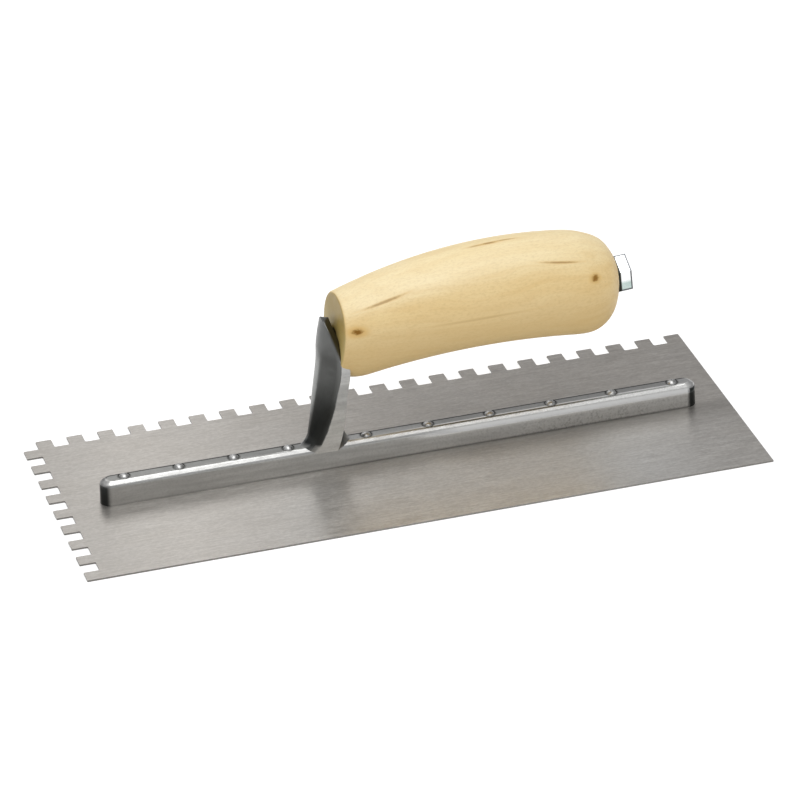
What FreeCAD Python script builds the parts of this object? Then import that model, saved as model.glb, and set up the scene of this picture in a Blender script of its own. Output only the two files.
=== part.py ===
import FreeCAD, Part
import math
import os

# Notched flooring trowel, 11 x 4 1/2 inch, as a riveted and bolted assembly. Millimetres.
# Frame: origin at the centre of the blade's underside, +X along the blade towards the
# handle's nut, +Y towards the notched long edge, +Z up.
# Everything that stands on the blade is built with z = 0 on the blade's top face and is
# lifted by the blade's thickness when it is written.

INCH = 25.4

# Blade: spring steel with square notches as wide and deep as the teeth between them.
BLADE_LENGTH = 11.0 * INCH
BLADE_WIDTH = 4.5 * INCH
BLADE_THICKNESS = 0.7
NOTCH = 0.25 * INCH
NOTCH_PITCH = 0.5 * INCH
NOTCH_CORNER_RADIUS = 0.6
LONG_EDGE_NOTCHES = 22
SHORT_EDGE_NOTCHES = 9

# Mounting bar: slim casting that lies along the middle of the blade.
BAR_FRONT = -120.5
BAR_REAR = 126.8
BAR_BASE_WIDTH = 8.8
BAR_SHOULDER_WIDTH = 8.4
BAR_HEIGHT = 10.3
BAR_SHOULDER = 1.7
BAR_SHOULDER_EDGE_RADIUS = 1.6
BAR_END_DROP = 2.6

# Shank: flared, arched plate that rises from the bar. Each station up to the spring of the
# arch is (height, front x, back x, half width, front bulge, back bulge).
SHANK_STATIONS = (
    (3.0, -31.8, -24.4, 2.9, 3.4, 4.0),
    (8.6, -32.9, -23.8, 4.45, 7.4, 7.0),
    (10.6, -32.2, -23.3, 4.9, 5.9, 4.9),
    (13.5, -30.9, -22.7, 5.6, 4.8, 2.6),
    (17.0, -29.8, -22.2, 6.6, 5.0, 1.2),
    (21.0, -28.8, -21.9, 7.9, 5.3, 0.5),
    (28.0, -27.3, -21.5, 9.9, 5.75, 0.2),
    (38.0, -25.4, -20.7, 11.1, 6.15, 0.2),
    (49.0, -24.1, -20.2, 11.5, 6.1, 0.2),
)
ARCH_TOP = 65.3
ARCH_TOP_FRONT_X = -27.8
ARCH_LEAN_POWER = 2.0
ARCH_BULGE_POWER = 2.2
ARCH_TOP_BACK_X = -25.0
ARCH_BACK_TAPER = 0.85
ARCH_BACK_TAPER_POWER = 1.5
ARCH_POWER = 2.0
ARCH_STEPS = 7
ARCH_LAST_ANGLE = 85.0
SHANK_CORNER_RADIUS = 0.9

# Boss on the shank's back face that holds the front end of the tang rod.
BOSS_DIAMETER = 15.0
BOSS_LENGTH = 14.0
BOSS_ROOT = 1.5

# Rivets: four in front of the shank and six behind it.
FRONT_RIVET_X = -110.4
FRONT_RIVET_PITCH = 22.3
FRONT_RIVETS = 4
REAR_RIVET_X = -11.3
REAR_RIVET_PITCH = 25.68
REAR_RIVETS = 6
RIVET_DIAMETER = 3.2
RIVET_HEAD_DIAMETER = 4.2
RIVET_HEAD_HEIGHT = 1.3
RIVET_SEAT_DIAMETER = 5.0
RIVET_SEAT_DEPTH = 0.2

# Handle: one piece of wood with an arched back. Its top line, bottom line, widest line and
# half width are parabolas (value at the crest, x of the crest, drop per square millimetre).
HANDLE_TOP = (86.1, 47.7, 0.00255)
HANDLE_BOTTOM = (44.3, 40.3, 0.00205)
HANDLE_WIDEST = (64.9, 45.0, 0.00087)
HANDLE_HALF_WIDTH = (21.2, 48.0, 0.00115)
HANDLE_BODY_X = (-29.0, -24.0, -19.0, -14.0, -8.0, 5.0, 20.0, 36.0, 54.0, 71.7)
HANDLE_FRONT_TOP_X = -21.2
HANDLE_FRONT_TILT = 5.7
HANDLE_NOSE_X = -8.0
HANDLE_NOSE_LENGTH = 14.0
HANDLE_NOSE_LIFT = 4.4
HANDLE_REAR_X = 93.2
HANDLE_DOME_LENGTH = 21.5
HANDLE_DOME_POWER = 2.75
HANDLE_DOME_STEPS = 8
HANDLE_EDGE_RADIUS = 1.4
SOCKET_CLEARANCE = 0.25

# Tang rod, washer and nut: 3/8 inch thread through the whole handle.
ROD_DIAMETER = 0.375 * INCH
ROD_TILT = 4.0
ROD_BORE = 10.2
ROD_CHAMFER = 0.8
ROD_END_X = 98.3
ROD_END_Z = 63.5
ROD_REACH_IN_BOSS = 12.0
NUT_ACROSS_FLATS = 0.5625 * INCH
NUT_THICKNESS = 8.3
NUT_CORNER_CUT = 30.0
NUT_STAND = 0.2
WASHER_DIAMETER = 17.6
WASHER_THICKNESS = 1.2
SPOT_FACE_DIAMETER = 18.4

UP = FreeCAD.Vector(0, 0, 1)


def vector(x, y, z):
    return FreeCAD.Vector(x, y, z)


def box(x_range, y_range, z_range):
    corner = vector(x_range[0], y_range[0], z_range[0])
    return Part.makeBox(x_range[1] - x_range[0], y_range[1] - y_range[0],
                        z_range[1] - z_range[0], corner)


def line(start, end):
    return Part.LineSegment(start, end).toShape()


def arc(start, middle, end):
    return Part.Arc(start, middle, end).toShape()


def bulged_line(start, end, bulge):
    """A parabolic edge from start to end whose middle stands off by the bulge vector."""
    curve = Part.BezierCurve()
    curve.setPoles([start, (start + end) * 0.5 + bulge * 2.0, end])
    return curve.toShape()


def single_solid(shape):
    """The one solid of a boolean result, without seams between equal faces."""
    refined = shape.removeSplitter()
    if len(refined.Solids) != 1:
        raise ValueError("expected one solid, found %d" % len(refined.Solids))
    return refined.Solids[0]


# ---------------------------------------------------------------- blade

def notch_cutter(x_start, y_start):
    """A square punch with slightly rounded corners, its lowest corner at x_start, y_start."""
    height = 3.0 * BLADE_THICKNESS
    punch = Part.makeBox(NOTCH, NOTCH, height, vector(x_start, y_start, -BLADE_THICKNESS))
    uprights = [edge for edge in punch.Edges if abs(edge.tangentAt(edge.FirstParameter).z) > 0.9]
    return punch.makeFillet(NOTCH_CORNER_RADIUS, uprights)


def blade():
    """The notched plate. The notch at the front far corner belongs to both edges."""
    half_length = BLADE_LENGTH / 2.0
    half_width = BLADE_WIDTH / 2.0
    plate = box((-half_length, half_length), (-half_width, half_width), (0.0, BLADE_THICKNESS))
    overrun = NOTCH_CORNER_RADIUS
    for index in range(LONG_EDGE_NOTCHES):
        x_start = -half_length + index * NOTCH_PITCH
        punch = notch_cutter(x_start, half_width - NOTCH)
        slot = box((x_start, x_start + NOTCH), (half_width - overrun, half_width + overrun),
                   (-BLADE_THICKNESS, 2.0 * BLADE_THICKNESS))
        plate = plate.cut(punch.fuse(slot))
    for index in range(SHORT_EDGE_NOTCHES):
        y_start = half_width - NOTCH - index * NOTCH_PITCH
        punch = notch_cutter(-half_length, y_start)
        slot = box((-half_length - overrun, -half_length + overrun), (y_start, y_start + NOTCH),
                   (-BLADE_THICKNESS, 2.0 * BLADE_THICKNESS))
        plate = plate.cut(punch.fuse(slot))
    for x_place in rivet_places():
        plate = plate.cut(Part.makeCylinder(RIVET_DIAMETER / 2.0, 3.0 * BLADE_THICKNESS,
                                            vector(x_place, 0, -BLADE_THICKNESS)))
    return single_solid(plate)


# ---------------------------------------------------------------- rivets

def rivet_places():
    front = [FRONT_RIVET_X + index * FRONT_RIVET_PITCH for index in range(FRONT_RIVETS)]
    rear = [REAR_RIVET_X + index * REAR_RIVET_PITCH for index in range(REAR_RIVETS)]
    return front + rear


def rivet(x_place):
    """A domed head on a stem that ends flush with the blade's underside."""
    seat = BAR_HEIGHT - RIVET_SEAT_DEPTH
    stem = Part.makeCylinder(RIVET_DIAMETER / 2.0, seat + BLADE_THICKNESS,
                             vector(x_place, 0, -BLADE_THICKNESS))
    half_chord = RIVET_HEAD_DIAMETER / 2.0
    dome_radius = (half_chord ** 2 + RIVET_HEAD_HEIGHT ** 2) / (2.0 * RIVET_HEAD_HEIGHT)
    centre = vector(x_place, 0, seat + RIVET_HEAD_HEIGHT - dome_radius)
    ball = Part.makeSphere(dome_radius, centre)
    above_seat = Part.makeCylinder(half_chord + 1.0, RIVET_HEAD_HEIGHT + 1.0,
                                   vector(x_place, 0, seat))
    return single_solid(stem.fuse(ball.common(above_seat)))


# ---------------------------------------------------------------- mounting

def stadium(half_width, front, rear, height):
    """A level outline with two straight sides and two half-round ends."""
    front_centre = front + half_width
    rear_centre = rear - half_width
    near_side = line(vector(front_centre, -half_width, height),
                     vector(rear_centre, -half_width, height))
    rear_end = arc(vector(rear_centre, -half_width, height), vector(rear, 0, height),
                   vector(rear_centre, half_width, height))
    far_side = line(vector(rear_centre, half_width, height),
                    vector(front_centre, half_width, height))
    front_end = arc(vector(front_centre, half_width, height), vector(front, 0, height),
                    vector(front_centre, -half_width, height))
    return Part.Wire([near_side, rear_end, far_side, front_end])


def bar():
    """The bar: drafted sides, bevelled shoulders and ends that fall away."""
    base_half = BAR_BASE_WIDTH / 2.0
    shoulder_half = BAR_SHOULDER_WIDTH / 2.0
    top_half = shoulder_half - BAR_SHOULDER
    shoulder_height = BAR_HEIGHT - BAR_SHOULDER
    draft = base_half - shoulder_half
    base = stadium(base_half, BAR_FRONT, BAR_REAR, 0.0)
    shoulder = stadium(shoulder_half, BAR_FRONT + draft, BAR_REAR - draft, shoulder_height)
    inset = draft + BAR_END_DROP
    top = stadium(top_half, BAR_FRONT + inset, BAR_REAR - inset, BAR_HEIGHT)
    sides = Part.makeLoft([base, shoulder], True, True)
    bevel = Part.makeLoft([shoulder, top], True, True)
    solid = sides.fuse(bevel).removeSplitter()
    rims = [edge for edge in solid.Edges
            if edge.BoundBox.ZLength < 0.01 and edge.BoundBox.ZMin > shoulder_height - 0.1]
    return solid.makeFillet(BAR_SHOULDER_EDGE_RADIUS, rims)


def rounded_corner(start, corner, end):
    """A parabolic edge from start to end, tangent to the two lines through the corner."""
    curve = Part.BezierCurve()
    curve.setPoles([start, corner, end])
    return curve.toShape()


def shank_section(station, back_share, grow):
    """A level outline of the shank: bulged front and back, rounded front corners."""
    height, front, back, half_width, front_bulge, back_bulge = station
    side = half_width + grow
    back_side = side * back_share
    radius = min(SHANK_CORNER_RADIUS, 0.5 * side)
    inner = side - radius
    middle_bulge = front_bulge * (inner / side) ** 2
    inner_x = front - front_bulge + middle_bulge
    corner_x = inner_x + 2.0 * front_bulge * inner * radius / side ** 2
    flank_x = corner_x + radius
    flank_side = side + (back_side - side) * radius / (back - corner_x)
    edges = [bulged_line(vector(inner_x, inner, height), vector(inner_x, -inner, height),
                         vector(-middle_bulge, 0, 0)),
             rounded_corner(vector(inner_x, -inner, height), vector(corner_x, -side, height),
                            vector(flank_x, -flank_side, height)),
             line(vector(flank_x, -flank_side, height), vector(back, -back_side, height)),
             bulged_line(vector(back, -back_side, height), vector(back, back_side, height),
                         vector(back_bulge, 0, 0)),
             line(vector(back, back_side, height), vector(flank_x, flank_side, height)),
             rounded_corner(vector(flank_x, flank_side, height), vector(corner_x, side, height),
                            vector(inner_x, inner, height))]
    return Part.Wire(edges)


def arch_section(angle, grow):
    """An outline on the arch, which narrows in an oval and leans away from the wood."""
    spring_height, front, back, spring_half_width, front_bulge, back_bulge = SHANK_STATIONS[-1]
    rise = math.sin(angle) ** (2.0 / ARCH_POWER)
    narrowing = math.cos(angle) ** (2.0 / ARCH_POWER)
    station = (spring_height + (ARCH_TOP + grow - spring_height) * rise,
               front + (ARCH_TOP_FRONT_X - front) * rise ** ARCH_LEAN_POWER,
               back + (ARCH_TOP_BACK_X - back) * rise,
               spring_half_width * narrowing,
               front_bulge * narrowing ** ARCH_BULGE_POWER,
               back_bulge)
    return shank_section(station, 1.0 - ARCH_BACK_TAPER * rise ** ARCH_BACK_TAPER_POWER, grow)


def shank(grow=0.0):
    """The flared plate up to its arch; grow widens it for its socket in the wood."""
    sections = [shank_section(station, 1.0, grow) for station in SHANK_STATIONS]
    for step in range(1, ARCH_STEPS + 1):
        sections.append(arch_section(math.radians(ARCH_LAST_ANGLE * step / ARCH_STEPS), grow))
    return Part.makeLoft(sections, True, False)


def rod_direction():
    tilt = math.radians(ROD_TILT)
    return vector(math.cos(tilt), 0, math.sin(tilt))


def rod_point(x_place):
    """The point on the tang rod's axis at the given x."""
    rise = (x_place - ROD_END_X) * math.tan(math.radians(ROD_TILT))
    return vector(x_place, 0, ROD_END_Z + rise)


def boss_start_x():
    """A place inside the shank's plate, where the boss begins."""
    return SHANK_STATIONS[-1][2] - BOSS_ROOT


def boss(grow=0.0):
    return Part.makeCylinder(BOSS_DIAMETER / 2.0 + grow, BOSS_LENGTH + BOSS_ROOT + grow,
                             rod_point(boss_start_x()), rod_direction())


def rod_start_x():
    return boss_start_x() + BOSS_LENGTH + BOSS_ROOT - ROD_REACH_IN_BOSS


def mounting():
    """Bar, shank and boss as one casting, drilled for the rivets and the tang rod."""
    casting = bar().fuse([shank(), boss()])
    for x_place in rivet_places():
        stem_hole = Part.makeCylinder(RIVET_DIAMETER / 2.0, BAR_HEIGHT + 2.0,
                                      vector(x_place, 0, -1.0))
        seat = Part.makeCylinder(RIVET_SEAT_DIAMETER / 2.0, RIVET_SEAT_DEPTH + 1.0,
                                 vector(x_place, 0, BAR_HEIGHT - RIVET_SEAT_DEPTH))
        casting = casting.cut(stem_hole.fuse(seat))
    return single_solid(casting.cut(tang_rod()))


# ---------------------------------------------------------------- handle

def parabola(x_place, shape):
    crest, crest_x, drop = shape
    return crest - drop * (x_place - crest_x) ** 2


def half_oval(x_place, middle, half_width, height, side):
    """Half of an oval section: an arch of the given height above or below its middle."""
    unit_arch = Part.ArcOfCircle(Part.Circle(vector(0, 0, 0), UP, 1.0), 0.0, math.pi)
    to_section = FreeCAD.Matrix(0, 0, 1, x_place,
                                half_width * side, 0, 0, 0,
                                0, height * side, 0, middle,
                                0, 0, 0, 1)
    return unit_arch.toShape().transformGeometry(to_section)


def handle_bottom(x_place):
    """The bottom line; near the front it turns up in a rounded nose."""
    along_nose = max(0.0, (HANDLE_NOSE_X - x_place) / HANDLE_NOSE_LENGTH)
    return parabola(x_place, HANDLE_BOTTOM) + HANDLE_NOSE_LIFT * along_nose ** 3


def handle_section(x_place, scale):
    """An oval section, different above and below its widest line, shrunk by scale."""
    x_shape = min(x_place, HANDLE_REAR_X - 0.5 * HANDLE_DOME_LENGTH)
    widest = parabola(x_shape, HANDLE_WIDEST)
    half_width = parabola(x_shape, HANDLE_HALF_WIDTH) * scale
    above = (parabola(x_shape, HANDLE_TOP) - widest) * scale
    below = (widest - handle_bottom(x_shape)) * scale
    upper_arch = half_oval(x_place, widest, half_width, above, 1.0)
    lower_arch = half_oval(x_place, widest, half_width, below, -1.0)
    return Part.Wire([upper_arch, lower_arch])


def handle_blank():
    """The turned and bent body with its domed rear end, before any boring."""
    sections = [handle_section(x_place, 1.0) for x_place in HANDLE_BODY_X]
    dome_x = HANDLE_REAR_X - HANDLE_DOME_LENGTH
    for step in range(1, HANDLE_DOME_STEPS):
        along = math.sin(0.5 * math.pi * step / HANDLE_DOME_STEPS)
        scale = (1.0 - along ** HANDLE_DOME_POWER) ** (1.0 / HANDLE_DOME_POWER)
        sections.append(handle_section(dome_x + along * HANDLE_DOME_LENGTH, scale))
    return Part.makeLoft(sections, True, False)


def handle_front_cutter():
    """Everything in front of the wood's sloping front end."""
    size = 120.0
    block = Part.makeBox(size, size, size, vector(-size, -size / 2.0, -size / 2.0))
    block.rotate(vector(0, 0, 0), vector(0, 1, 0), HANDLE_FRONT_TILT)
    block.translate(vector(HANDLE_FRONT_TOP_X, 0, parabola(HANDLE_FRONT_TOP_X, HANDLE_TOP)))
    return block


def washer_seat_x():
    return ROD_END_X + NUT_STAND - NUT_THICKNESS - WASHER_THICKNESS


def handle():
    """The wooden grip: trimmed in front, bored for the rod, spot-faced for the washer."""
    body = handle_blank().cut(handle_front_cutter())
    front_rim = [edge for edge in body.Edges if edge.BoundBox.XMax < HANDLE_FRONT_TOP_X + 1.0]
    body = body.makeFillet(HANDLE_EDGE_RADIUS, front_rim)
    seat = Part.makeCylinder(SPOT_FACE_DIAMETER / 2.0, 30.0, rod_point(washer_seat_x()),
                             rod_direction())
    bore = Part.makeCylinder(ROD_BORE / 2.0, 160.0, rod_point(-40.0), rod_direction())
    body = body.cut(seat)
    body = body.cut(bore)
    body = body.cut(boss(SOCKET_CLEARANCE))
    return single_solid(body.cut(shank(SOCKET_CLEARANCE)))


# ---------------------------------------------------------------- tang rod, washer, nut

def tang_rod():
    """Steel rod from the boss to just inside the nut's rear face, chamfered at both ends."""
    start = rod_point(rod_start_x())
    length = (ROD_END_X - rod_start_x()) / math.cos(math.radians(ROD_TILT))
    rod = Part.makeCylinder(ROD_DIAMETER / 2.0, length, start, rod_direction())
    rims = [edge for edge in rod.Edges if edge.isClosed()]
    return rod.makeChamfer(ROD_CHAMFER, rims)


def washer():
    seat = rod_point(washer_seat_x())
    disc = Part.makeCylinder(WASHER_DIAMETER / 2.0, WASHER_THICKNESS, seat, rod_direction())
    hole = Part.makeCylinder(ROD_BORE / 2.0, 10.0, rod_point(washer_seat_x() - 4.0),
                             rod_direction())
    return single_solid(disc.cut(hole))


def nut():
    """Hexagonal nut with a corner up, its corners turned off where it meets the washer."""
    corner_radius = NUT_ACROSS_FLATS / math.sqrt(3.0)
    corners = []
    for index in range(7):
        angle = math.radians(60.0 * index)
        corners.append(vector(corner_radius * math.cos(angle), corner_radius * math.sin(angle), 0))
    prism = Part.Face(Part.makePolygon(corners)).extrude(vector(0, 0, NUT_THICKNESS))
    widening = NUT_THICKNESS / math.tan(math.radians(NUT_CORNER_CUT))
    cone = Part.makeCone(NUT_ACROSS_FLATS / 2.0, NUT_ACROSS_FLATS / 2.0 + widening, NUT_THICKNESS)
    prism = prism.common(cone)
    prism.rotate(vector(0, 0, 0), vector(0, 1, 0), 90.0 - ROD_TILT)
    prism.translate(rod_point(ROD_END_X + NUT_STAND - NUT_THICKNESS))
    return single_solid(prism.cut(tang_rod()))


# ---------------------------------------------------------------- write

def write(name, shape, lift=BLADE_THICKNESS):
    solid = shape.copy()
    solid.translate(vector(0, 0, lift))
    if not solid.isValid():
        raise ValueError("%s is not a valid solid" % name)
    solid.exportStep("parts/%s.step" % name)
    print("%-12s volume %9.1f mm3  box %s" % (name, solid.Volume, solid.BoundBox))


os.makedirs("parts", exist_ok=True)
write("blade", blade(), lift=0.0)
write("mounting", mounting())
for number, place in enumerate(rivet_places(), start=1):
    write("rivet_%02d" % number, rivet(place))
write("handle", handle())
write("tang_rod", tang_rod())
write("washer", washer())
write("nut", nut())
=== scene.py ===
import math

import bpy
from mathutils import Matrix, Vector


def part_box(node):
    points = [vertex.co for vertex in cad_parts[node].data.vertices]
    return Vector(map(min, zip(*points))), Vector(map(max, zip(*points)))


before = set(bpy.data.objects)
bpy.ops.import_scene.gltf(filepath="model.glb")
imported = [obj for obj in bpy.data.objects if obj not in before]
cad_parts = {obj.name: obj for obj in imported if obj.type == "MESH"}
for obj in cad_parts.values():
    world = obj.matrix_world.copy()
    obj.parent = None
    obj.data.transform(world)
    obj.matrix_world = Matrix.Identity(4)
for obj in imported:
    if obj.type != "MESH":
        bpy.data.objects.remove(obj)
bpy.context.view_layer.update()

# Notched flooring trowel. Metres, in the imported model's frame: +X along the blade towards
# the nut, +Y towards the notched long edge, +Z up from the blade's underside.
MM = 0.001

# The tang rod, the washer and the nut rise towards the rear by this many degrees.
ROD_TILT = 4.0


# ---------------------------------------------------------------- node helpers

# A mix node has sockets for every kind of value; these number its share and its colours.
MIX_SHARE, MIX_FIRST, MIX_SECOND = 0, 6, 7
MIX_RESULT = 2


class Graph:
    """A material's or world's node tree with short ways to add and join nodes."""

    def __init__(self, tree):
        self.tree = tree
        self.tree.nodes.clear()

    def node(self, kind, inputs=None, **settings):
        made = self.tree.nodes.new(kind)
        for name, value in settings.items():
            setattr(made, name, value)
        for name, value in (inputs or {}).items():
            self.feed(made.inputs[name], value)
        return made

    def feed(self, socket, value):
        """Joins an output to the socket, or sets the socket's own value."""
        if isinstance(value, bpy.types.NodeSocket):
            self.tree.links.new(value, socket)
        else:
            socket.default_value = value

    def math(self, operation, first, second=0.0):
        made = self.node("ShaderNodeMath", {0: first, 1: second}, operation=operation)
        return made.outputs[0]

    def product(self, first, *others):
        for other in others:
            first = self.math("MULTIPLY", first, other)
        return first

    def larger(self, first, second):
        return self.math("MAXIMUM", first, second)

    def away_from(self, value, centre):
        return self.math("ABSOLUTE", self.math("SUBTRACT", value, centre))

    def vector_math(self, operation, first, second=(0.0, 0.0, 0.0)):
        return self.node("ShaderNodeVectorMath", {0: first, 1: second}, operation=operation)

    def place(self):
        """The point in the object's own metres."""
        return self.node("ShaderNodeTexCoord").outputs["Object"]

    def facing(self):
        """The surface's normal in the object's own axes."""
        return self.node("ShaderNodeTexCoord").outputs["Normal"]

    def axis(self, point, name):
        return self.node("ShaderNodeSeparateXYZ", {0: point}).outputs[name]

    def stretched(self, point, scale):
        made = self.node("ShaderNodeMapping", {"Vector": point})
        made.inputs["Scale"].default_value = scale
        return made.outputs[0]

    def local(self, point, centre, tilt, half_size=(1.0, 1.0, 1.0)):
        """The point in axes at the centre, tilted up towards +X, in half sizes."""
        made = self.node("ShaderNodeMapping", {"Vector": point}, vector_type="TEXTURE")
        made.inputs["Location"].default_value = centre
        made.inputs["Rotation"].default_value = (0.0, -tilt, 0.0)
        made.inputs["Scale"].default_value = half_size
        return made.outputs[0]

    def noise(self, point, scale, detail=4.0, roughness=0.55):
        made = self.node("ShaderNodeTexNoise", {"Vector": point, "Scale": scale,
                                                "Detail": detail, "Roughness": roughness})
        return made.outputs["Fac"]

    def streaks(self, point, scale, detail, roughness):
        """Noise with its own scale along each axis."""
        return self.noise(self.stretched(point, scale), 1.0, detail, roughness)

    def spread(self, value, low, high, to_low=0.0, to_high=1.0):
        """Value mapped smoothly from low..high to to_low..to_high, clamped."""
        made = self.node("ShaderNodeMapRange", {"Value": value, "From Min": low,
                                                "From Max": high, "To Min": to_low,
                                                "To Max": to_high})
        made.interpolation_type = "SMOOTHSTEP"
        return made.outputs[0]

    def mix(self, share, first, second, blend="MIX"):
        made = self.node("ShaderNodeMix", data_type="RGBA", blend_type=blend)
        self.feed(made.inputs[MIX_SHARE], share)
        self.feed(made.inputs[MIX_FIRST], first)
        self.feed(made.inputs[MIX_SECOND], second)
        return made.outputs[MIX_RESULT]

    def bump(self, height, distance, strength=1.0, under=None):
        made = self.node("ShaderNodeBump", {"Height": height, "Distance": distance,
                                            "Strength": strength})
        if under is not None:
            self.feed(made.inputs["Normal"], under)
        return made.outputs[0]


def colour(red, green, blue):
    return (red, green, blue, 1.0)


BLACK = colour(0.0, 0.0, 0.0)
WHITE = colour(1.0, 1.0, 1.0)


def new_surface(name, metallic=0.0):
    """A material with its graph and shader."""
    material = bpy.data.materials.new(name)
    material.use_nodes = True
    graph = Graph(material.node_tree)
    output = graph.node("ShaderNodeOutputMaterial")
    shader = graph.node("ShaderNodeBsdfPrincipled")
    graph.feed(output.inputs["Surface"], shader.outputs[0])
    shader.inputs["Metallic"].default_value = metallic
    return material, graph, shader


# ---------------------------------------------------------------- blade

# Where the painted light and shade on the blade go from none to full, in metres.
LIT_SIDE_X = (-0.08, 0.0)
LIT_SIDE_Y = (0.005, -0.035)
LIT_SIDE_FADE_X = (0.145, 0.07)
SHADED_FRONT_END_X = (-0.09, -0.14)
BAR_SHADOW_Y = (-0.024, -0.006)
BAR_SHADOW_INNER_Y = (0.0, -0.004)
BAR_SHADOW_X = (0.0, 0.04)


def blade_steel():
    """Cold rolled steel, ground along its length, with painted light on its near side, painted
    shade at its front end and beside the bar, and painted dark reflections on its cut edges.
    """
    material, graph, shader = new_surface("blade_steel", metallic=1.0)
    point = graph.place()
    along = graph.axis(point, "X")
    across = graph.axis(point, "Y")
    fine = graph.streaks(point, (260.0, 2600.0, 900.0), 2.0, 0.6)
    lines = graph.streaks(point, (70.0, 900.0, 300.0), 3.0, 0.6)
    bands = graph.streaks(point, (16.0, 90.0, 60.0), 3.0, 0.55)
    specks = graph.streaks(point, (650.0, 1300.0, 900.0), 2.0, 0.6)
    clouds = graph.noise(point, 26.0, 3.0, 0.5)
    grain = graph.math("ADD", graph.product(fine, 0.45), graph.product(lines, 0.55))
    tone = graph.mix(graph.spread(grain, 0.34, 0.66), colour(0.475, 0.450, 0.417),
                     colour(0.590, 0.563, 0.527))
    tone = graph.mix(graph.spread(bands, 0.35, 0.7, 0.0, 0.25), tone,
                     colour(0.50, 0.465, 0.42))
    tone = graph.mix(graph.spread(clouds, 0.35, 0.7, 0.0, 0.25), tone,
                     colour(0.56, 0.54, 0.515))
    tone = graph.mix(graph.spread(specks, 0.45, 0.72, 0.0, 0.34), tone,
                     colour(0.41, 0.385, 0.355))
    tone = graph.mix(graph.spread(specks, 0.5, 0.3, 0.0, 0.25), tone,
                     colour(0.70, 0.675, 0.64))
    # Painted light: the blade's near side is brighter from the middle rearwards and fades at
    # the rear end.
    painted_light_side = graph.product(graph.spread(along, *LIT_SIDE_X),
                                graph.spread(across, *LIT_SIDE_Y),
                                graph.spread(along, *LIT_SIDE_FADE_X, 0.35, 1.0))
    tone = graph.mix(painted_light_side, tone,
                     graph.mix(1.0, tone, colour(1.30, 1.34, 1.38), "MULTIPLY"))
    # Painted shade darkening the blade towards its front end.
    tone = graph.mix(graph.spread(along, *SHADED_FRONT_END_X, 0.0, 0.16), tone, BLACK)
    # Painted shadow and dark reflection of the bar on the blade, along the bar's near side
    # behind the middle.
    bar_shadow = graph.product(graph.spread(across, *BAR_SHADOW_Y),
                               graph.spread(across, *BAR_SHADOW_INNER_Y),
                               graph.spread(along, *BAR_SHADOW_X, 0.0, 0.28))
    tone = graph.mix(bar_shadow, tone, colour(0.16, 0.15, 0.135))
    # Painted dark reflection on the sheet's cut edges, which face sideways.
    edge_dark_reflection = graph.spread(graph.axis(graph.facing(), "Z"), 0.6, 0.2, 0.0, 0.75)
    tone = graph.mix(edge_dark_reflection, tone, colour(0.09, 0.085, 0.08))
    graph.feed(shader.inputs["Base Color"], tone)
    graph.feed(shader.inputs["Roughness"], graph.spread(grain, 0.3, 0.7, 0.34, 0.42))
    graph.feed(shader.inputs["Normal"], graph.bump(grain, 0.01 * MM, 0.5))
    shader.inputs["Anisotropic"].default_value = 0.5
    across_grain = graph.node("ShaderNodeCombineXYZ", {0: 0.0, 1: 1.0, 2: 0.0})
    graph.feed(shader.inputs["Tangent"], across_grain.outputs[0])
    return material


# ---------------------------------------------------------------- casting

# Where marks, painted light and painted shade on the casting lie, or go from none to full, in
# metres. The bar's rear part is the part behind the shank.
REAR_PART_X = (0.0, 0.03)
LIGHTER_REAR_X = (-0.01, 0.06)
PITTED_X = (0.03, 0.08)
PITTED_HEIGHT = (8.0 * MM, 5.5 * MM)
CLEANER_REAR_X = (0.092, 0.108)
SHANK_HEIGHT = (12.0 * MM, 20.0 * MM)
CONTACT_SHADOW_HEIGHT = (1.7 * MM, 0.9 * MM)
CONTACT_SHADOW_X = (-0.1, 0.02)
BAR_HEIGHT = (14.0 * MM, 12.0 * MM)
DOUBLED_SHOULDER_X = (-0.01, 0.03)
DOUBLED_SHOULDER_END_X = (0.121, 0.113)
DARK_LINE_Y = -2.6 * MM
DARK_LINE_HALF_WIDTH = (0.5 * MM, 0.15 * MM)
GLINT_Y = -1.9 * MM
GLINT_HALF_WIDTH = (0.5 * MM, 0.1 * MM)
DARKER_TOP_Y = (-1.6 * MM, -1.0 * MM)
FAR_SHADOW_Y = (1.0 * MM, 2.0 * MM)
SHOULDER_HIGHLIGHT_HEIGHT = (5.6 * MM, 8.6 * MM)
SHOULDER_HIGHLIGHT_TOP = (9.7 * MM, 9.0 * MM)
ROLLED_HEIGHT = (9.4 * MM, 7.0 * MM)
ROLL_DEPTH = 0.8 * MM
FRONT_PART_X = (-0.02, -0.04)
REAR_END_X = (0.11, 0.115)
SHANK_FRONT_HEIGHT = (10.5 * MM, 13.0 * MM)
ARCH_HEIGHT = (50.5 * MM, 52.5 * MM)
SHADE_FADE_HEIGHT = (20.0 * MM, 52.0 * MM)
HEEL_X = (-0.026, -0.0235)
HEEL_REAR_X = (0.0, -0.01)
HEEL_HEIGHT = (19.0 * MM, 13.0 * MM)
HEEL_FADE_X = (-0.0235, -0.0185)
FAR_STRIP_HEIGHT = (22.0 * MM, 32.0 * MM)
FAR_STRIP_TOP = (53.0 * MM, 46.0 * MM)
RIVET_RING_RADIUS = (3.4 * MM, 2.4 * MM)


def rivet_rings(graph, point):
    """How much of a rivet's dark seat a point of the casting holds."""
    share = 0.0
    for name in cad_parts:
        if name.startswith("rivet_"):
            low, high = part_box(name)
            middle = ((low.x + high.x) / 2.0, (low.y + high.y) / 2.0, high.z)
            gap = graph.vector_math("DISTANCE", point, middle).outputs["Value"]
            share = graph.larger(graph.spread(gap, *RIVET_RING_RADIUS), share)
    return share


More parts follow.
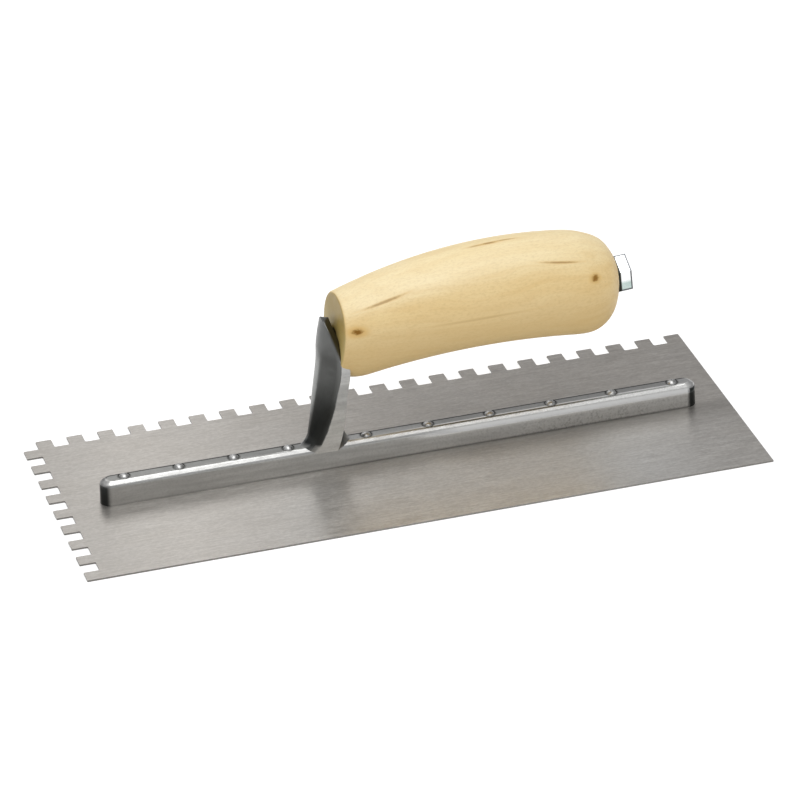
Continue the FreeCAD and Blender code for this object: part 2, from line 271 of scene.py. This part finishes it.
def bar_light_and_shade(graph, tone, along, across, height, facing):
    """Painted light and shade on the bar: a painted glint and dark reflection line doubling the
    shoulder behind the shank, a darker top there, a painted shoulder highlight, painted shade
    on the top in front and a painted shadow line along the far edge.
    """
    upright = graph.axis(facing, "Z")
    top = graph.product(graph.spread(upright, 0.1, 0.4), graph.spread(height, *BAR_HEIGHT))
    doubled = graph.product(top, graph.spread(along, *DOUBLED_SHOULDER_X),
                            graph.spread(along, *DOUBLED_SHOULDER_END_X))
    # Painted dark reflection line that, with the painted glint, doubles the shoulder's
    # highlight behind the shank.
    dark_reflection_line = graph.spread(graph.away_from(across, DARK_LINE_Y), *DARK_LINE_HALF_WIDTH, 0.0, 0.8)
    tone = graph.mix(graph.product(dark_reflection_line, doubled), tone, colour(0.08, 0.08, 0.075))
    # Painted glint along the upper edge of the bar's shoulder behind the shank.
    glint = graph.spread(graph.away_from(across, GLINT_Y), *GLINT_HALF_WIDTH)
    tone = graph.mix(graph.product(glint, doubled), tone, colour(0.95, 0.95, 0.94))
    # Darker towards the far part of the bar's top behind the shank.
    darker_top = graph.product(graph.spread(across, *DARKER_TOP_Y, 0.0, 0.3), doubled)
    tone = graph.mix(darker_top, tone, colour(0.12, 0.12, 0.11))
    # Painted highlight on the bar's near shoulder behind the shank.
    shoulder = graph.product(graph.spread(height, *SHOULDER_HIGHLIGHT_HEIGHT),
                             graph.spread(height, *SHOULDER_HIGHLIGHT_TOP),
                             graph.spread(along, *REAR_PART_X, 0.0, 0.9),
                             graph.spread(graph.axis(facing, "Y"), 0.0, -0.3))
    tone = graph.mix(shoulder, tone, colour(0.97, 0.97, 0.96))
    # Painted shade on the upward faces of the bar in front of the shank.
    front_top_shade = graph.product(graph.spread(upright, 0.9, 0.98, 0.0, 0.5),
                              graph.spread(along, *FRONT_PART_X))
    tone = graph.mix(front_top_shade, tone, colour(0.13, 0.13, 0.12))
    # Painted shadow line along the far edge of the bar's top.
    far_shadow_line = graph.product(graph.spread(across, *FAR_SHADOW_Y), top,
                             graph.spread(graph.axis(facing, "Y"), 0.72, 0.52))
    return graph.mix(far_shadow_line, tone, colour(0.03, 0.03, 0.028))


def painted_dark_sides(graph, tone, along, height, facing):
    """Painted dark reflections on the bar's ends and the shank's front, painted shade over the
    arch, paler at the heel, with a painted lighter reflection on the front's far side.
    """
    # Faces turned to the front or rear get painted dark reflections; everything above the bar's
    # arch height gets painted shade.
    upright = graph.axis(facing, "Z")
    sideways = graph.math("ABSOLUTE", graph.axis(facing, "X"))
    rear_end = graph.product(graph.spread(sideways, 0.04, 0.3),
                             graph.spread(along, *REAR_END_X))
    bar_ends = graph.larger(graph.spread(sideways, 0.12, 0.6), rear_end)
    bar_ends = graph.product(bar_ends, graph.spread(upright, 0.65, 0.25))
    shank_front = graph.product(graph.spread(sideways, 0.06, 0.26),
                                graph.spread(height, *SHANK_FRONT_HEIGHT),
                                graph.spread(upright, 0.9, 0.6))
    dark_sides = graph.larger(bar_ends, shank_front)
    dark_sides = graph.larger(dark_sides, graph.spread(height, *ARCH_HEIGHT))
    dark = graph.mix(graph.spread(height, *SHADE_FADE_HEIGHT), colour(0.045, 0.048, 0.046),
                     colour(0.13, 0.132, 0.128))
    heel = graph.product(graph.spread(along, *HEEL_X), graph.spread(height, *HEEL_HEIGHT),
                         graph.spread(along, *HEEL_REAR_X))
    heel_tone = graph.mix(graph.spread(along, *HEEL_FADE_X), colour(0.10, 0.10, 0.097),
                          colour(0.48, 0.48, 0.47))
    dark = graph.mix(heel, dark, heel_tone)
    # Painted lighter reflection on the shank's front where it curves round to the far side.
    far_reflection = graph.product(graph.spread(graph.axis(facing, "Y"), -0.30, -0.18),
                              graph.spread(height, *FAR_STRIP_HEIGHT, 0.25, 1.0),
                              graph.spread(height, *FAR_STRIP_TOP, 0.0, 0.8))
    dark = graph.mix(far_reflection, dark, colour(0.27, 0.275, 0.27))
    return graph.mix(dark_sides, tone, dark)


def cast_aluminium():
    """Tumbled aluminium casting: satin, with painted dark reflections on the shank's front and
    the bar's ends, painted shade over the arch and painted light and shade along the bar.
    """
    material, graph, shader = new_surface("cast_aluminium", metallic=1.0)
    point = graph.place()
    along = graph.axis(point, "X")
    across = graph.axis(point, "Y")
    height = graph.axis(point, "Z")
    facing = graph.facing()
    skin = graph.noise(point, 1100.0, 3.0, 0.6)
    mottle = graph.noise(point, 260.0, 4.0, 0.6)
    pinholes = graph.noise(point, 950.0, 3.0, 0.6)
    drag = graph.streaks(point, (30.0, 260.0, 420.0), 3.0, 0.6)
    tone = graph.mix(graph.spread(drag, 0.3, 0.7), colour(0.44, 0.44, 0.43),
                     colour(0.56, 0.56, 0.55))
    tone = graph.mix(graph.spread(along, *LIGHTER_REAR_X, 0.0, 0.6), tone,
                     colour(0.74, 0.74, 0.73))
    tone = graph.mix(graph.spread(skin, 0.45, 0.7, 0.0, 0.3), tone, colour(0.33, 0.33, 0.32))
    pits = graph.product(graph.spread(pinholes, 0.42, 0.7), graph.spread(mottle, 0.35, 0.6),
                         graph.spread(along, *PITTED_X, 0.08, 0.6),
                         graph.spread(height, *PITTED_HEIGHT, 0.2, 1.0),
                         graph.spread(along, *CLEANER_REAR_X, 0.9, 0.4))
    tone = graph.mix(pits, tone, colour(0.17, 0.17, 0.16))
    tone = graph.mix(graph.spread(height, *SHANK_HEIGHT, 0.0, 0.2), tone, BLACK)
    # Painted contact shadow along the foot of the casting where it meets the blade.
    contact_shadow = graph.product(graph.spread(height, *CONTACT_SHADOW_HEIGHT),
                              graph.spread(along, *CONTACT_SHADOW_X, 0.2, 0.6))
    tone = graph.mix(contact_shadow, tone, colour(0.07, 0.07, 0.065))
    tone = bar_light_and_shade(graph, tone, along, across, height, facing)
    tone = painted_dark_sides(graph, tone, along, height, facing)
    tone = graph.mix(graph.product(rivet_rings(graph, point), 0.85), tone,
                     colour(0.06, 0.06, 0.055))
    graph.feed(shader.inputs["Base Color"], tone)
    graph.feed(shader.inputs["Roughness"], graph.spread(mottle, 0.3, 0.7, 0.28, 0.38))
    rolled = graph.product(graph.spread(height, *ROLLED_HEIGHT),
                           graph.spread(along, *REAR_PART_X))
    relief = graph.math("ADD", graph.product(skin, 0.4), mottle)
    graph.feed(shader.inputs["Normal"],
               graph.bump(relief, 0.06 * MM, 0.4, graph.bump(rolled, ROLL_DEPTH)))
    return material


# ---------------------------------------------------------------- rivets, rod, washer, nut

def worn_metal(name, scale, low_tone, high_tone, low_rough, high_rough):
    """A plain metal, a little uneven in tone and polish."""
    material, graph, shader = new_surface(name, metallic=1.0)
    wear = graph.noise(graph.place(), scale, 4.0, 0.6)
    share = graph.spread(wear, 0.3, 0.7)
    graph.feed(shader.inputs["Base Color"], graph.mix(share, low_tone, high_tone))
    graph.feed(shader.inputs["Roughness"],
               graph.spread(wear, 0.3, 0.7, low_rough, high_rough))
    graph.feed(shader.inputs["Normal"], graph.bump(wear, 0.04 * MM, 0.3))
    return material


# Widths on the nut, measured inwards from its rear face or its corners.
NUT_RIM_WIDTH = (0.65 * MM, 0.5 * MM)
NUT_RIDGE_WIDTH = (0.30 * MM, 0.14 * MM)
# Heights and lengths from the nut's middle.
UPPER_FACE_FOOT = (0.0, 1.0 * MM)
UPPER_FACE_TOP = (6.0 * MM, 5.0 * MM)
UPPER_HIGHLIGHT_HEIGHT = (-1.2 * MM, 0.8 * MM)
WASHER_SHADE_X = (-0.1 * MM, -0.6 * MM)


def bright_zinc():
    """Zinc plate on the nut, with a painted highlight on its upper part, painted dark
    reflections along the hexagon's corners and rear rim, and painted shade by the washer.
    """
    material, graph, shader = new_surface("bright_zinc", metallic=1.0)
    low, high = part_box("nut")
    size = high - low
    tilt = math.radians(ROD_TILT)
    rear = (size.x - size.z * math.sin(tilt)) / 2.0
    corner = (size.z - size.x * math.sin(tilt)) / 2.0
    local = graph.local(graph.place(), (low + high) / 2.0, tilt)
    along = graph.axis(local, "X")
    height = graph.axis(local, "Z")
    flat = graph.stretched(local, (0.0, 1.0, 1.0))
    radius = graph.vector_math("LENGTH", flat).outputs["Value"]
    rim_dark_reflection = graph.product(graph.spread(graph.axis(graph.facing(), "X"), 0.9, 0.6),
                             graph.spread(along, *(rear - width for width in NUT_RIM_WIDTH)))
    upper_face = graph.product(graph.spread(height, *UPPER_FACE_FOOT),
                               graph.spread(height, *UPPER_FACE_TOP))
    corner_dark_reflections = graph.product(graph.math("SUBTRACT", 1.0, upper_face),
                           graph.spread(radius, *(corner - width for width in NUT_RIDGE_WIDTH)))
    wear = graph.noise(graph.place(), 500.0, 4.0, 0.6)
    tone = graph.mix(graph.spread(wear, 0.3, 0.7), colour(0.43, 0.53, 0.50),
                     colour(0.53, 0.62, 0.59))
    # Painted highlight: the nut's upper part reflects white.
    tone = graph.mix(graph.spread(height, *UPPER_HIGHLIGHT_HEIGHT), tone,
                     colour(0.92, 0.93, 0.93))
    # Painted dark reflections along the nut's rear rim and the hexagon's corners.
    tone = graph.mix(graph.larger(rim_dark_reflection, corner_dark_reflections), tone, colour(0.11, 0.115, 0.12))
    tone = graph.mix(graph.spread(along, *WASHER_SHADE_X), tone, colour(0.025, 0.025, 0.02))
    graph.feed(shader.inputs["Base Color"], tone)
    graph.feed(shader.inputs["Roughness"], graph.spread(wear, 0.3, 0.7, 0.16, 0.26))
    graph.feed(shader.inputs["Normal"], graph.bump(wear, 0.03 * MM, 0.3))
    return material


# ---------------------------------------------------------------- handle

# Marks in the wood: centre and half size in millimetres, slope in degrees, how dark, and
# how wide a pale brown halo round it is.
WOOD_MARKS = (
    ((-17.5, -16.7, 65.7), (2.6, 6.0, 1.3), 0.0, 1.0, 2.6),
    ((79.7, -18.2, 73.1), (1.8, 6.0, 1.4), 0.0, 0.9, 2.0),
    ((-5.0, -12.8, 75.2), (9.0, 6.0, 0.42), 14.5, 0.55, 1.8),
    ((41.6, 0.4, 86.6), (3.6, 0.75, 3.0), 0.0, 0.65, 2.2),
    ((48.6, 0.9, 86.6), (4.6, 0.5, 3.0), 0.0, 0.5, 2.0),
    ((36.0, 0.2, 86.6), (3.2, 0.7, 3.0), 0.0, 0.35, 2.2),
    ((66.5, -13.5, 80.6), (8.0, 6.0, 0.36), -8.0, 0.55, 1.7),
    ((31.0, -20.4, 65.4), (22.0, 6.0, 0.6), 1.5, 0.16, 1.8),
)
GRAIN_WAVER = 12.0 * MM
END_SHADE_HEIGHT = (50.0 * MM, 74.0 * MM)


def birch():
    """Pale lacquered birch: faint long grain, two pin knots and mineral streaks, with painted
    shade underneath, a painted sheen on top and a darker front end face, partly end grain and
    partly painted shade.
    """
    material, graph, shader = new_surface("birch")
    point = graph.place()
    facing = graph.facing()
    slow = graph.streaks(point, (22.0, 34.0, 34.0), 2.0, 0.5)
    waver = graph.product(graph.math("SUBTRACT", slow, 0.5), GRAIN_WAVER)
    shift = graph.node("ShaderNodeCombineXYZ", {0: 0.0, 1: waver, 2: waver}).outputs[0]
    grained = graph.vector_math("ADD", point, shift).outputs[0]
    long_grain = graph.streaks(grained, (16.0, 330.0, 330.0), 4.0, 0.6)
    pores = graph.streaks(point, (700.0, 1500.0, 1500.0), 2.0, 0.6)
    patches = graph.streaks(point, (18.0, 60.0, 60.0), 2.0, 0.5)
    tone = graph.mix(graph.spread(long_grain, 0.3, 0.75), colour(0.80, 0.61, 0.305),
                     colour(0.745, 0.535, 0.242))
    tone = graph.mix(graph.spread(patches, 0.35, 0.75, 0.0, 0.35), tone,
                     colour(0.83, 0.66, 0.375))
    tone = graph.mix(graph.spread(pores, 0.4, 0.75, 0.0, 0.34), tone,
                     colour(0.60, 0.42, 0.185))
    # Painted shade on the handle's underside and a painted whitish sheen on its top.
    rise = graph.axis(facing, "Z")
    tone = graph.mix(graph.spread(rise, 0.45, -0.45, 0.0, 0.5), tone,
                     colour(0.61, 0.42, 0.165))
    tone = graph.mix(graph.spread(rise, 0.45, 0.9), tone,
                     graph.mix(1.0, tone, colour(1.09, 1.19, 1.42), "MULTIPLY"))
    # The front end face is darker, partly its own end grain and partly painted shade, darkest
    # at its top beside the shank.
    front_end = graph.spread(graph.axis(facing, "X"), -0.7, -0.97, 0.0, 0.9)
    end_tone = graph.mix(graph.spread(graph.axis(point, "Z"), *END_SHADE_HEIGHT),
                         colour(0.52, 0.40, 0.135), colour(0.33, 0.225, 0.045))
    tone = graph.mix(front_end, tone, end_tone)
    ragged = graph.spread(pores, 0.2, 0.8, -0.2, 0.2)
    for centre, half_size, slope, strength, halo in WOOD_MARKS:
        local = graph.local(point, Vector(centre) * MM, math.radians(slope),
                            Vector(half_size) * MM)
        distance = graph.math("ADD", graph.vector_math("LENGTH", local).outputs["Value"],
                              ragged)
        tone = graph.mix(graph.spread(distance, halo, 0.6, 0.0, 0.6 * strength), tone,
                         colour(0.62, 0.35, 0.07))
        tone = graph.mix(graph.spread(distance, 1.15, 0.35, 0.0, strength), tone,
                         colour(0.23, 0.10, 0.002))
    graph.feed(shader.inputs["Base Color"], tone)
    graph.feed(shader.inputs["Roughness"], graph.spread(long_grain, 0.3, 0.7, 0.42, 0.52))
    relief = graph.math("ADD", graph.product(pores, 0.5), long_grain)
    graph.feed(shader.inputs["Normal"], graph.bump(relief, 0.04 * MM, 0.35))
    shader.inputs["Specular IOR Level"].default_value = 0.35
    shader.inputs["Coat Weight"].default_value = 0.06
    shader.inputs["Coat Roughness"].default_value = 0.35
    return material


# ---------------------------------------------------------------- materials onto the pieces

SLOT_MATERIALS = {
    "blade_steel": blade_steel(),
    "cast_aluminium": cast_aluminium(),
    "rivet_steel": worn_metal("rivet_steel", 1500.0, colour(0.34, 0.34, 0.335),
                              colour(0.55, 0.55, 0.545), 0.3, 0.42),
    "plain_steel": worn_metal("plain_steel", 700.0, colour(0.10, 0.105, 0.11),
                              colour(0.18, 0.185, 0.19), 0.3, 0.45),
    "bright_zinc": bright_zinc(),
    "birch": birch(),
}
for node_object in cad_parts.values():
    for material_slot in node_object.material_slots:
        material_slot.material = SLOT_MATERIALS[material_slot.material.name]


# ---------------------------------------------------------------- floor and light

FLOOR_HALF_WIDTH = 6.0
FLOOR_GLOW = 0.2
CEILING_DIRECTION = (-0.12, -0.22, 0.968)
ROOM_STRENGTH = 0.62

# Soft boxes: name, place, the point each one faces, its two sizes and its power in watts.
SOFT_BOXES = (
    ("ceiling_box", (-0.05, -0.20, 1.2), (0.0, 0.0, 0.0), (0.9, 1.0), 8.0),
    ("rear_box", (-0.14, 0.50, 0.46), (-0.05, 0.0, 0.0), (0.5, 0.34), 0.6),
)


def floor():
    """A plain pale sweep, flat and far wider than the picture, under the trowel."""
    half = FLOOR_HALF_WIDTH
    mesh = bpy.data.meshes.new("floor")
    corners = [(-half, -half, 0.0), (half, -half, 0.0), (half, half, 0.0), (-half, half, 0.0)]
    mesh.from_pydata(corners, [], [(0, 1, 2, 3)])
    sweep = bpy.data.objects.new("floor", mesh)
    bpy.context.scene.collection.objects.link(sweep)
    material, graph, shader = new_surface("floor_paint")
    shade = graph.noise(graph.place(), 6.0, 2.0)
    graph.feed(shader.inputs["Base Color"],
               graph.mix(shade, colour(0.93, 0.93, 0.93), colour(0.95, 0.95, 0.95)))
    shader.inputs["Roughness"].default_value = 0.9
    shader.inputs["Specular IOR Level"].default_value = 0.1
    shader.inputs["Emission Color"].default_value = WHITE
    shader.inputs["Emission Strength"].default_value = FLOOR_GLOW
    mesh.materials.append(material)


def studio_light():
    """A bright ceiling that falls off towards a dimmer room around the floor."""
    world = bpy.data.worlds.new("studio")
    bpy.context.scene.world = world
    world.use_nodes = True
    graph = Graph(world.node_tree)
    output = graph.node("ShaderNodeOutputWorld")
    backdrop = graph.node("ShaderNodeBackground")
    graph.feed(output.inputs["Surface"], backdrop.outputs[0])
    direction = graph.node("ShaderNodeTexCoord").outputs["Generated"]
    towards = graph.vector_math("DOT_PRODUCT", direction, CEILING_DIRECTION).outputs["Value"]
    graph.feed(backdrop.inputs["Color"],
               graph.mix(graph.spread(towards, 0.1, 0.85), colour(0.50, 0.50, 0.51), WHITE))
    backdrop.inputs["Strength"].default_value = ROOM_STRENGTH


def soft_box(name, place, aim, size, power):
    """A rectangular lamp that the camera doesn't see."""
    lamp = bpy.data.lights.new(name, "AREA")
    lamp.shape = "RECTANGLE"
    lamp.size, lamp.size_y = size
    lamp.energy = power
    box = bpy.data.objects.new(name, lamp)
    box.location = Vector(place)
    box.rotation_mode = "QUATERNION"
    box.rotation_quaternion = (Vector(aim) - Vector(place)).to_track_quat("-Z", "Y")
    box.visible_camera = False
    bpy.context.scene.collection.objects.link(box)


floor()
studio_light()
for box_values in SOFT_BOXES:
    soft_box(*box_values)


# ---------------------------------------------------------------- camera

# Angles in degrees, lens and sensor in millimetres, the rest in metres.
CAMERA_AZIMUTH = 15.694
CAMERA_ELEVATION = 28.406
CAMERA_ROLL = -2.014
CAMERA_TARGET = Vector((14.80, 41.25, 0.70)) * MM
CAMERA_DISTANCE = 2144.75 * MM
CAMERA_SENSOR = 36.0
CAMERA_LENS = 237.8
CAMERA_NEAR_CLIP = 0.05
CAMERA_FAR_CLIP = 50.0


def camera():
    """A long lens from the front left, above the blade."""
    azimuth, elevation, roll = (math.radians(angle) for angle in
                                (CAMERA_AZIMUTH, CAMERA_ELEVATION, CAMERA_ROLL))
    forward = Vector((math.sin(azimuth) * math.cos(elevation),
                      math.cos(azimuth) * math.cos(elevation), -math.sin(elevation)))
    level_right = Vector((math.cos(azimuth), -math.sin(azimuth), 0.0))
    level_up = level_right.cross(forward)
    right = level_right * math.cos(roll) + level_up * math.sin(roll)
    up = level_up * math.cos(roll) - level_right * math.sin(roll)
    lens = bpy.data.cameras.new("camera")
    lens.sensor_width = CAMERA_SENSOR
    lens.lens = CAMERA_LENS
    lens.clip_start = CAMERA_NEAR_CLIP
    lens.clip_end = CAMERA_FAR_CLIP
    holder = bpy.data.objects.new("camera", lens)
    turn = Matrix((right, up, -forward)).transposed()
    holder.matrix_world = (Matrix.Translation(CAMERA_TARGET - forward * CAMERA_DISTANCE)
                           @ turn.to_4x4())
    bpy.context.scene.collection.objects.link(holder)
    bpy.context.scene.camera = holder


camera()
bpy.context.scene.view_settings.view_transform = "Standard"
